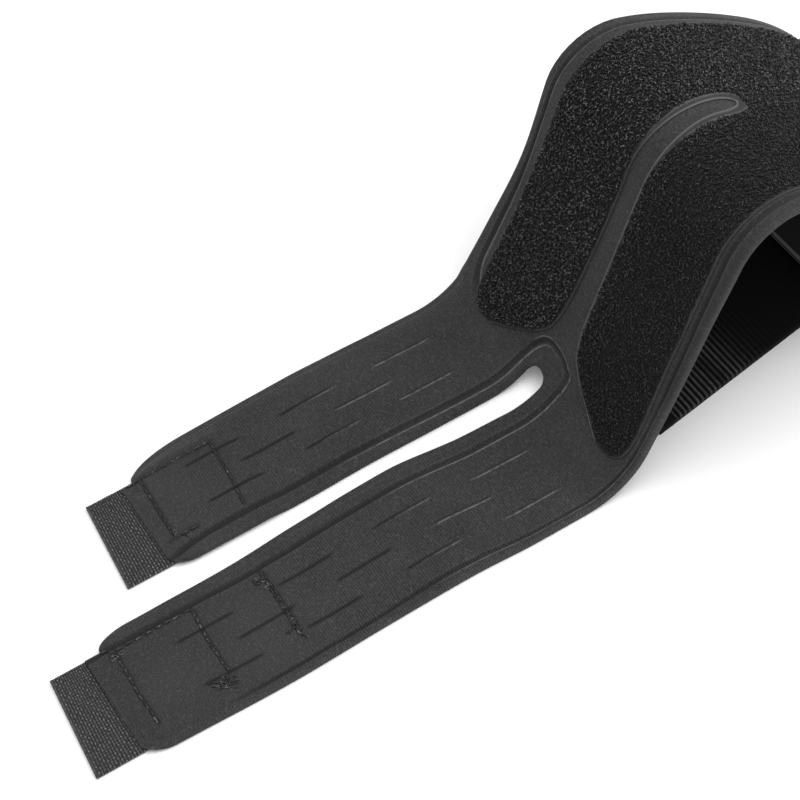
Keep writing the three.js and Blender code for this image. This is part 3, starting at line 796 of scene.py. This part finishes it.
# Loop pile
# Curly loops of black yarn, knitted into the backing and brushed so that they lean every way, a little
# flatter on the near leg, whose loops are also painted darker as shade. Each loop is a bent yarn with both
# feet in the backing, painted darker towards its feet as shade.
LEG_PITCH, BACK_PITCH = 0.5, 0.575
PILE_REACH, PILE_FROM = 28, PANEL_START + 0.4
LOOP_EDGE = 0.12
LOOP_SPAN = (0.42, 0.78)
LOOP_RISE = (0.35, 0.95)
LOOP_LEAN, LOOP_SWELL = 0.3, 0.5
NEAR_STANDING_AND_SHADE, NEAR_LEG_ACROSS = 0.78, (-14.0, 4.0)
DARK_LOOPS = 1.3
YARN_RADIUS = (0.08, 0.125)
FOOT_HEIGHT = BACKING_HIGH - 0.1
LOOP_SHARES = np.linspace(0, 1, 4)
YARN_SIDES = 3
pile_random = np.random.default_rng(41)


def loop_feet(start, end, sides, pitch):
    """Places of the loops on part of the panel, on a shaken grid."""
    across = np.arange(-PILE_REACH, PILE_REACH, pitch)
    s, out = np.meshgrid(np.arange(start, end, pitch), across, indexing="ij")
    s = (s + pile_random.uniform(-0.5, 0.5, s.shape) * pitch).ravel()
    out = (out + pile_random.uniform(-0.5, 0.5, out.shape) * pitch).ravel()
    inner, outer = panel_half_widths(s)
    inner = inner + np.where(s < PANEL_TIP, LOOP_EDGE, -1)
    inside = (np.abs(out) < outer - LOOP_EDGE) & (np.abs(out) > inner)
    inside &= (s < PANEL_END - LOOP_EDGE) & (s > PILE_FROM) & np.isin(np.sign(out), sides)
    return s[inside], PANEL_MIDDLE + out[inside]


def pile_piece(name, start, end, sides, pitch):
    """One stretch of pile: bent yarns with closed ends."""
    s, w = loop_feet(start, end, sides, pitch)
    count = len(s)
    turn = pile_random.uniform(0, 2 * np.pi, count)
    span, rise, radius = (pile_random.uniform(*limits, count)
                          for limits in (LOOP_SPAN, LOOP_RISE, YARN_RADIUS))
    lean = pile_random.uniform(-LOOP_LEAN, LOOP_LEAN, (count, 2))
    tone = pile_random.uniform(0, 1, count) ** DARK_LOOPS
    # The near leg's loops stand lower, and their tone is darkened as painted shade.
    flatter_and_shaded = NEAR_STANDING_AND_SHADE + (1 - NEAR_STANDING_AND_SHADE) * ease(w, *NEAR_LEG_ACROSS)
    rise = rise * flatter_and_shaded
    tone = tone * flatter_and_shaded ** 2
    arch = np.sin(np.pi * LOOP_SHARES)
    reach = (LOOP_SHARES - 0.5) * (1 + LOOP_SWELL * arch)
    path = np.stack([
        s[:, None] + np.cos(turn)[:, None] * span[:, None] * reach + lean[:, :1] * arch,
        w[:, None] + np.sin(turn)[:, None] * span[:, None] * reach + lean[:, 1:] * arch,
        FOOT_HEIGHT + rise[:, None] * arch,
    ], -1)
    ahead = np.gradient(path, axis=1)
    ahead /= np.linalg.norm(ahead, axis=-1, keepdims=True)
    flat_side = np.stack([-np.sin(turn), np.cos(turn), 0 * turn], -1)[:, None]
    sideways = flat_side - ahead * (flat_side * ahead).sum(-1, keepdims=True)
    sideways /= np.linalg.norm(sideways, axis=-1, keepdims=True)
    upward = np.cross(ahead, sideways)
    angle = np.arange(YARN_SIDES) * 2 * np.pi / YARN_SIDES
    ring = np.cos(angle)[:, None] * sideways[:, :, None] + np.sin(angle)[:, None] * upward[:, :, None]
    points = path[:, :, None] + radius[:, None, None, None] * ring
    steps = len(LOOP_SHARES)
    index = np.arange(count * steps * YARN_SIDES).reshape(count, steps, YARN_SIDES)
    after = np.roll(index, -1, axis=2)
    walls = np.stack([index[:, :-1], after[:, :-1], after[:, 1:], index[:, 1:]], -1).reshape(-1, 4)
    caps = [index[:, 0, ::-1].reshape(-1, YARN_SIDES), index[:, -1].reshape(-1, YARN_SIDES)]
    points = points.reshape(-1, 3)
    faces = walls.tolist() + caps[0].tolist() + caps[1].tolist()
    piece = mesh_piece(name, place(points[:, 0], points[:, 1], points[:, 2]), faces)
    keep_values(piece, points, tone=np.repeat(tone, steps * YARN_SIDES))
    return piece


yarn = Finish("loop_yarn", sheen=0.03, sheen_roughness=0.4, specular=0.22)
fuzz = yarn.noise(yarn.stretched(2.4, 2.4, 2.4), 2.0)
# Painted shade: each loop is darker towards its feet.
lit = yarn.between(yarn.height, FOOT_HEIGHT, FOOT_HEIGHT + LOOP_RISE[1])
yarn.colour(
    yarn.times(lit, lit, yarn.sum(0.02, yarn.times(yarn.value("tone"), 0.95), yarn.times(fuzz, 0.3))),
    dark=(0.0027, 0.0027, 0.0029), light=(0.16, 0.16, 0.162),
)
yarn.bump(fuzz, 0.00003)
yarn.roughness(fuzz, 0.5, 0.8)
pile = [
    pile_piece("loop_pile_far_leg", PANEL_START, PANEL_TIP, [1], LEG_PITCH),
    pile_piece("loop_pile_near_leg", PANEL_START, PANEL_TIP, [-1], LEG_PITCH),
    pile_piece("loop_pile_back", PANEL_TIP, PANEL_END, [-1, 1], BACK_PITCH),
]
for piece in pile:
    yarn.dress(piece)
    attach(piece, "root")

# Tails
# Two pieces of plain-woven webbing, sewn under the tongues' ends and cut off at a slant. The weft lies in
# lines across the tail, the warp crosses it over and under, and the selvedges are thinner.
WEFT_PITCH = 0.59
WARP_PITCH = 0.66
WEAVE_DEPTH = 0.32
TAIL_FINE_STEP, TAIL_COARSE_STEP = WEFT_PITCH / 5, 1.5
TAIL_COLUMN_STEP = WARP_PITCH / 5
CLOSEST_TAIL_ROWS = 0.05
SELVEDGE_WIDTH, SELVEDGE_DROP = 0.5, 0.2
TAIL_SHOWN_MARGIN = 3
FRAYED, FRAYED_RELIEF = 0.8, 0.55
UNDER_SHARE = 0.5


def weave(s, w):
    """Relief of the weave from 0, in its gaps, to 1, on its yarns."""
    weft = np.floor(s / WEFT_PITCH)
    across = np.sin(np.pi * (s / WEFT_PITCH - weft))
    wander = 0.5 * np.sin(2.3 * w + 0.8 * s) + 0.3 * np.sin(1.1 * s - 3.7 * w)
    yarns = 0.5 + 0.5 * np.cos(2 * np.pi * w / WARP_PITCH + wander)
    over = 0.5 + 0.5 * np.cos(np.pi * (w / WARP_PITCH + np.mod(weft, 2)) + wander / 2)
    return across * (0.3 + 0.4 * yarns + 0.3 * over)


def tail_grid(tongue):
    """Grid of one tail, fine where it shows and coarse where the tongue covers it."""
    cut, end, sewn, width = (tongue[key] for key in ("tail_cut", "end", "tail_end", "tail_width"))
    shown = np.arange(cut, end + TAIL_SHOWN_MARGIN, TAIL_FINE_STEP)
    covered = np.arange(shown[-1], sewn, TAIL_COARSE_STEP)
    s = thinned(np.concatenate([shown, covered, [sewn]]), CLOSEST_TAIL_ROWS)[:, None]
    out = np.linspace(-width / 2, width / 2, int(width / TAIL_COLUMN_STEP))
    w = tongue["tail_middle"] + out + 0 * s
    slant = tongue["cut_slant"] * (1 - ease(s, cut, end + TAIL_SHOWN_MARGIN))
    relief = weave(s + 0 * w, w)
    flattened = 1 - ease(s - cut, 0, FRAYED)
    relief = relief + flattened * (FRAYED_RELIEF - relief)
    selvedge = ease(SELVEDGE_WIDTH - (width / 2 - np.abs(out)), 0, SELVEDGE_WIDTH)
    top = TAIL_WALL - WEAVE_DEPTH * (1 - relief) - SELVEDGE_DROP * selvedge
    bottom = WEAVE_DEPTH * UNDER_SHARE * (1 - relief)
    return dict(s=s + slant * out, w=w, top=top, bottom=bottom, relief=relief)


webbing = Finish("tail_webbing", sheen=0.1, sheen_roughness=0.5, specular=0.3)
fibre = webbing.noise(webbing.stretched(1.6, 2.6, 1.0), 3.0)
uneven_dye = webbing.noise(webbing.stretched(0.15, 0.25, 0.0))
# Painted shade: the colour follows the weave's relief, dark in its gaps and lighter on its raised yarns.
gap_shaded_relief = webbing.math("POWER", webbing.value("relief"), 2.0)
fibre_tone = webbing.sum(-1.3, webbing.times(fibre, 4.2))
webbing.colour(
    webbing.sum(webbing.times(gap_shaded_relief, fibre_tone), webbing.times(uneven_dye, 0.05)),
    dark=(0.0025, 0.0025, 0.0027), light=(0.18, 0.18, 0.183),
)
webbing.bump(fibre, 0.00008)
webbing.roughness(fibre, 0.65, 0.9)
for name, tongue in TONGUES.items():
    tail, tail_area = cloth_mesh("webbing_" + name, [tail_grid(tongue)], bulge=0.1)
    webbing.dress(tail)
    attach(tail, "root")
    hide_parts("tail_" + name)

# Tail seams
# Lockstitch in black thread through the tongue and the tail beneath it, pulled into the cloth. The near
# tongue's inner seam is sewn twice, and the thread's ends are left as short tangles.
STITCH_LENGTH, STITCH_GAP = 1.75, 0.35
THREAD_RADIUS, LOOSE_RADIUS = 0.23, 0.14
STITCH_WANDER, STITCH_END = 0.08, -0.4
STITCH_SHARES = np.linspace(0, 1, 7)
THREAD_SIDES = 6
STITCH_CROWN, STITCH_SUNK = 0.24, 0.04
seam_random = np.random.default_rng(12)


def thread_mesh(threads):
    """Round threads with closed ends, each given as pattern points and a radius, as points and faces."""
    points, faces, start = [], [], 0
    angle = np.arange(THREAD_SIDES) * 2 * np.pi / THREAD_SIDES
    for path, radius in threads:
        ahead = np.gradient(path, axis=0)
        ahead /= np.linalg.norm(ahead, axis=1, keepdims=True)
        sideways = np.cross(ahead, (0.0, 0.0, 1.0))
        sideways /= np.maximum(np.linalg.norm(sideways, axis=1, keepdims=True), 1e-6)
        upward = np.cross(sideways, ahead)
        ring = np.cos(angle)[:, None] * sideways[:, None] + np.sin(angle)[:, None] * upward[:, None]
        points.append((path[:, None] + radius * ring).reshape(-1, 3))
        index = start + np.arange(len(path) * THREAD_SIDES).reshape(len(path), THREAD_SIDES)
        after = np.roll(index, -1, axis=1)
        faces += np.stack([index[:-1], index[1:], after[1:], after[:-1]], -1).reshape(-1, 4).tolist()
        faces += [index[0].tolist(), index[-1, ::-1].tolist()]
        start += index.size
    return np.concatenate(points), faces


def seam_stitches(name, tongue):
    """Paths of the stitches along a tongue's seams."""
    paths = []
    for seam in SEAMS[name]:
        for start, end in zip(seam, seam[1:]):
            start, end = np.array(start), np.array(end)
            run = np.linalg.norm(end - start)
            number = max(1, round(run / (STITCH_LENGTH + STITCH_GAP)))
            step = (end - start) / number
            gap = STITCH_GAP / (STITCH_LENGTH + STITCH_GAP)
            for k in range(number):
                wander = seam_random.normal(0, STITCH_WANDER, 2)
                share = gap / 2 + STITCH_SHARES * (1 - gap)
                flat = start + (k + share)[:, None] * step + wander
                crown = STITCH_CROWN * np.sin(np.pi * STITCH_SHARES) ** 0.5 - STITCH_SUNK
                crown = np.where((STITCH_SHARES == 0) | (STITCH_SHARES == 1), STITCH_END, crown)
                height = body_face(name, tongue, flat[:, 0], flat[:, 1])["top"] + crown
                paths.append((np.column_stack([flat, height]), THREAD_RADIUS))
    return paths


LOOSE_THREADS = {  # place of each tangle, its spread along and across, and its number of thread ends
    "far": [(-97.6, 11.5, 0.9, 0.7, 3)],
    "near": [
        (-106.6, -25.6, 2.0, 0.9, 16), (-122.0, -7.2, 1.0, 0.9, 8), (-89.0, -9.5, 0.5, 1.4, 7),
        (-88.6, -22.3, 0.5, 1.5, 7),
    ],
}
LOOSE_POINTS, LOOSE_STEP = 9, 0.34
LOOSE_CURL, LOOSE_SHAKE = 0.9, 0.2
LOOSE_LOW, LOOSE_ARCH = 0.06, 0.3


def loose_threads(name, tongue):
    """Paths of the short thread ends that lie tangled on a tongue."""
    paths = []
    for s, w, spread_s, spread_w, number in LOOSE_THREADS[name]:
        for _ in range(number):
            flat = np.array([s, w]) + seam_random.uniform(-1, 1, 2) * (spread_s, spread_w)
            heading = seam_random.uniform(0, 2 * np.pi)
            curl = seam_random.uniform(-LOOSE_CURL, LOOSE_CURL)
            trail = []
            for _ in range(LOOSE_POINTS):
                trail.append(flat)
                heading += curl + seam_random.normal(0, LOOSE_SHAKE)
                flat = flat + LOOSE_STEP * np.array([np.cos(heading), np.sin(heading)])
            trail = np.array(trail)
            arch = np.sin(np.pi * np.linspace(0, 1, LOOSE_POINTS))
            rise = LOOSE_LOW + LOOSE_ARCH * arch * seam_random.uniform(0.2, 1)
            height = body_face(name, tongue, trail[:, 0], trail[:, 1])["top"] + rise
            paths.append((np.column_stack([trail, height]), LOOSE_RADIUS))
    return paths


thread = Finish("seam_thread", sheen=0.05, sheen_roughness=0.5, specular=0.45)
twist = thread.noise(thread.stretched(4.0, 4.0, 4.0), 2.0)
glint = thread.between(thread.noise(thread.stretched(0.9, 0.9, 0.9), 3.0), 0.52, 0.68)
thread.colour(
    thread.sum(thread.times(twist, 0.1), thread.times(glint, 0.9)),
    dark=(0.0015, 0.0015, 0.0017), light=(0.105, 0.105, 0.107),
)
thread.bump(twist, 0.00004)
thread.roughness(twist, 0.3, 0.55)
for name, tongue in TONGUES.items():
    points, faces = thread_mesh(seam_stitches(name, tongue) + loose_threads(name, tongue))
    seam = mesh_piece("seam_" + name, place(points[:, 0], points[:, 1], points[:, 2]), faces)
    keep_values(seam, points)
    thread.dress(seam)
    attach(seam, "root")

# Ribbed strap
# A flat elastic webbing with ribs across it, a little askew, that are strongest near its free end. The rib
# tops carry a painted highlight that fades further in, as painted shade under the arch. It lies on the
# surface at a slight angle to the body, and the turned-in end of the arch rests on it.
STRAP_WIDTH = 40
STRAP_FREE, STRAP_SEWN = -2, 73
STRAP_TURN = np.radians(8.7)
STRAP_ASIDE = 2.4
RIB_PITCH, RIB_DEPTH, RIB_SLANT = 1.31, 0.45, 0.15
RIB_ROUNDNESS, RIB_UNDER_SHARE = 0.7, 0.3
RIB_ROW_STEP = 0.19
HEM_WIDTH, HEM_DROP, HEM_SHADE = 0.3, 0.25, 0.06
# The ribs' height here also sets their painted highlight, which fades into painted shade under the arch.
RIBS_AND_SHADE = np.array([  # place along, and how far the ribs stand out
    (1.5, 0.0), (3.5, 1.0), (15.0, 1.0), (17.5, 0.85), (20.0, 1.0),
    (26.0, 0.8), (34.0, 0.4), (42.0, 0.15), (73.0, 0.15),
])
STRAP_COLUMNS = np.concatenate([[0, 0.004, 0.012], np.linspace(0.03, 0.97, 30), [0.988, 0.996, 1]])


def place_strap(along, across, height):
    """Points of the strap in the frame, in metres."""
    middle = (STRAP_FREE + STRAP_SEWN) / 2
    x = middle + (along - middle) * np.cos(STRAP_TURN) - across * np.sin(STRAP_TURN)
    y = STRAP_ASIDE + (along - middle) * np.sin(STRAP_TURN) + across * np.cos(STRAP_TURN)
    return (np.stack([x, y, height + 0 * x], -1) + pattern_origin) * MM


def strap_grid():
    """Grid of the strap, with ribs on its upper face and weaker ones beneath."""
    rows = round((STRAP_SEWN - STRAP_FREE) / RIB_ROW_STEP) + 1
    along = np.linspace(STRAP_FREE, STRAP_SEWN, rows)[:, None]
    across = (STRAP_COLUMNS - 0.5) * STRAP_WIDTH + 0 * along
    rib = np.abs(np.sin(np.pi * (along - RIB_SLANT * across) / RIB_PITCH)) ** RIB_ROUNDNESS
    ribbed_and_shaded = smooth_line(RIBS_AND_SHADE[:, 0], RIBS_AND_SHADE[:, 1], along)
    hem = ease(STRAP_WIDTH / 2 - np.abs(across), 0, HEM_WIDTH)
    sunk = ribbed_and_shaded * (1 - rib) * hem
    return dict(
        s=along + 0 * across, w=across, top=STRAP_WALL - RIB_DEPTH * sunk - HEM_DROP * (1 - hem),
        bottom=RIB_UNDER_SHARE * RIB_DEPTH * sunk, relief=rib * ribbed_and_shaded * (1 - HEM_SHADE * (1 - hem)),
    )


elastic = Finish("ribbed_elastic", sheen=0.02, sheen_roughness=0.5, specular=0.06)
yarns = elastic.noise(elastic.stretched(1.6, 1.6, 1.0), 3.0)
# Painted highlight on the rib tops.
rib_top_highlight = elastic.math("POWER", elastic.value("relief"), 6.0)
elastic.colour(
    elastic.sum(elastic.times(rib_top_highlight, elastic.times(yarns, 1.8)), elastic.times(yarns, 0.05)),
    dark=(0.0028, 0.0028, 0.0029), light=(0.08, 0.08, 0.081),
)
elastic.bump(yarns, 0.00006)
elastic.roughness(yarns, 0.6, 0.85)
strap, _ = cloth_mesh("strap_webbing", [strap_grid()], bulge=0.12, placing=place_strap)
elastic.dress(strap)
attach(strap, "root")
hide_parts("ribbed_strap")

# Studio
# A plain white floor, weak light all round, a large soft lamp overhead and a smaller one low at the right,
# as in the photograph, and a camera at its viewing angle.
FLOOR_HALF, FLOOR_BELOW = 3.0, 0.0001
FLOOR_COLOUR = (0.97, 0.965, 0.97, 1)
AIR_COLOUR, AIR_STRENGTH = (0.97, 0.98, 1.0, 1), 0.45
corners = [(FLOOR_HALF * x, FLOOR_HALF * y, -FLOOR_BELOW) for x, y in ((-1, -1), (1, -1), (1, 1), (-1, 1))]
floor_mesh = bpy.data.meshes.new("floor")
floor_mesh.from_pydata(corners, [], [(0, 1, 2, 3)])
floor = bpy.data.objects.new("floor", floor_mesh)
bpy.context.scene.collection.objects.link(floor)
paper = bpy.data.materials.new("floor_paper")
paper.use_nodes = True
paper_shader = paper.node_tree.nodes["Principled BSDF"]
paper_shader.inputs["Base Color"].default_value = FLOOR_COLOUR
paper_shader.inputs["Roughness"].default_value = 0.9
paper_shader.inputs["Specular IOR Level"].default_value = 0.1
floor_mesh.materials.append(paper)

world = bpy.data.worlds.new("soft_light")
world.use_nodes = True
air = world.node_tree.nodes["Background"]
air.inputs["Color"].default_value = AIR_COLOUR
air.inputs["Strength"].default_value = AIR_STRENGTH
bpy.context.scene.world = world

LAMPS = [  # name, place, watts, size
    ("key", (0.05, -0.1, 1.3), 18.5, 1.5),
    ("side", (0.85, -0.5, 0.45), 4.8, 0.8),
]
for name, spot, watts, size in LAMPS:
    lamp = bpy.data.lights.new(name, "AREA")
    lamp.energy = watts
    lamp.size = size
    holder = bpy.data.objects.new(name, lamp)
    holder.location = spot
    holder.rotation_euler = (-Vector(spot)).to_track_quat("-Z", "Y").to_euler()
    bpy.context.scene.collection.objects.link(holder)

CAMERA_FROM_PATTERN = (-0.19222, -0.26302, 0.41030)
CAMERA_RIGHT = (0.84362, -0.53463, -0.04983)
CAMERA_UP = (0.44908, 0.65165, 0.61129)
CAMERA_LENS = 107.66
eye = bpy.data.cameras.new("camera")
eye.lens = CAMERA_LENS
eye.sensor_width = 36
eye.clip_start = 0.01
camera = bpy.data.objects.new("camera", eye)
right, up = Vector(CAMERA_RIGHT), Vector(CAMERA_UP)
turned = Matrix((right, up, right.cross(up))).transposed().to_4x4()
camera.matrix_world = Matrix.Translation(Vector(pattern_origin * MM) + Vector(CAMERA_FROM_PATTERN)) @ turned
bpy.context.scene.collection.objects.link(camera)
bpy.context.scene.camera = camera
bpy.context.scene.view_settings.view_transform = "Standard"
